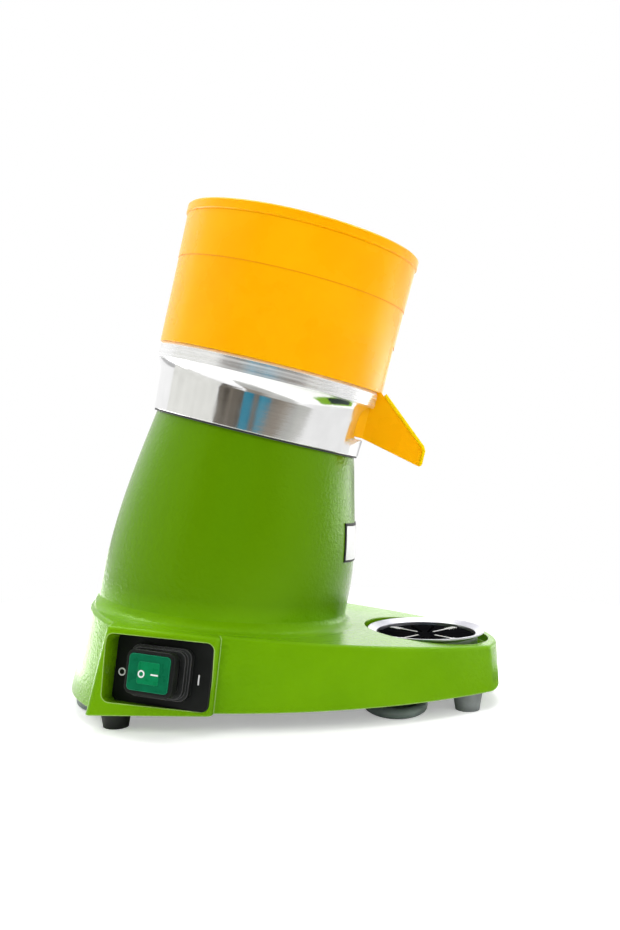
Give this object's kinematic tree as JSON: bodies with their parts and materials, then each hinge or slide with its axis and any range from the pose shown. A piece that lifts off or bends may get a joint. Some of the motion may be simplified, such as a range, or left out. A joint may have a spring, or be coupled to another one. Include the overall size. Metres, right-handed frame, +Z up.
{
  "type": "commercial citrus juicer",
  "caption": "Electric citrus juicer with a leaning motor column on a cast base, a lift-off bowl with a spout over a ribbed squeezer, a drip dish and a side rocker switch.",
  "frame": {"origin": "on the floor under the middle of the base's length, in the plane of the motor axis", "axes": "+X to the front, towards the spout and the drip dish, -Y to the switch, +Z up"},
  "size_m": [0.2955, 0.248, 0.3398],
  "materials": {
    "green_paint": "textured enamel",
    "yellow_plastic": "glossy moulded",
    "polished_aluminium": "polished",
    "stainless": "bright",
    "zinc_steel": "zinc plated",
    "lamination_steel": "dark lamination",
    "copper_winding": "enamelled copper",
    "cast_aluminium": "as cast",
    "black_rubber": "matte",
    "black_plastic": "fine grain",
    "green_window": "clear tinted",
    "cream_plastic": "glossy",
    "grey_can": "smooth",
    "cord_rubber": "semi-matte",
    "nickel_pins": "nickel plated"
  },
  "bodies": {
    "housing": {"body_casting": "green_paint", "bottom_plate": "zinc_steel", "foot_rear_right": "black_rubber", "foot_rear_left": "black_rubber", "foot_front_right": "black_rubber", "foot_front_left": "black_rubber", "foot_screws": "zinc_steel", "plate_screws": "zinc_steel", "bowl_collar": "polished_aluminium", "collar_screws": "zinc_steel", "stator_stack": "lamination_steel", "end_windings": "copper_winding", "upper_end_shield": "cast_aluminium", "lower_end_shield": "cast_aluminium", "upper_bearing": "stainless", "lower_bearing": "stainless", "shaft_seal": "black_rubber", "motor_bolts": "zinc_steel", "run_capacitor": "grey_can", "capacitor_clip": "zinc_steel", "terminal_block": "cream_plastic", "switch_plate": "black_plastic", "switch_body": "black_plastic", "switch_boot": "black_rubber", "cord_gland": "black_rubber", "cord_lead": "cord_rubber", "cord_hank": "cord_rubber", "cord_tail": "cord_rubber", "plug_body": "black_rubber", "plug_pins": "nickel_pins"},
    "spindle": {"motor_shaft": "stainless", "drive_pin": "stainless", "rotor": "lamination_steel", "cooling_fan": "black_plastic"},
    "bowl": {"bowl": "yellow_plastic"},
    "strainer": {"strainer": "stainless"},
    "squeezer": {"squeezer": "cream_plastic"},
    "rocker": {"switch_rocker": "black_plastic", "switch_cap_frame": "black_plastic", "switch_window": "green_window"},
    "dish": {"drip_dish": "stainless"},
    "grid": {"drip_grid": "black_plastic"}
  },
  "joints": [
    {"name": "spindle_spin", "type": "hinge", "parent": "housing", "child": "spindle", "pos_m": [-0.0635, 0, 0], "axis": [0.2368, 0, 0.9715], "continuous": true},
    {"name": "bowl_lift", "type": "slide", "parent": "housing", "child": "bowl", "axis": [0.2368, 0, 0.9715], "range_m": [0, 0.08]},
    {"name": "strainer_lift", "type": "slide", "parent": "bowl", "child": "strainer", "axis": [0.2368, 0, 0.9715], "range_m": [0, 0.1]},
    {"name": "squeezer_spin", "type": "hinge", "parent": "strainer", "child": "squeezer", "pos_m": [-0.0635, 0, 0], "axis": [0.2368, 0, 0.9715], "continuous": true},
    {"name": "switch_rock", "type": "hinge", "parent": "housing", "child": "rocker", "pos_m": [-0.06981, -0.09676, 0.03787], "axis": [0.0961, 0.1547, 0.9833], "range_deg": [0, 10]},
    {"name": "dish_lift", "type": "slide", "parent": "housing", "child": "dish", "axis": [0, 0, 1], "range_m": [0, 0.05]},
    {"name": "grid_lift", "type": "slide", "parent": "dish", "child": "grid", "axis": [0, 0, 1], "range_m": [0, 0.03]}
  ],
  "couplings": [
    {"joint": "squeezer_spin", "follows": "spindle_spin", "ratio": 1}
  ]
}
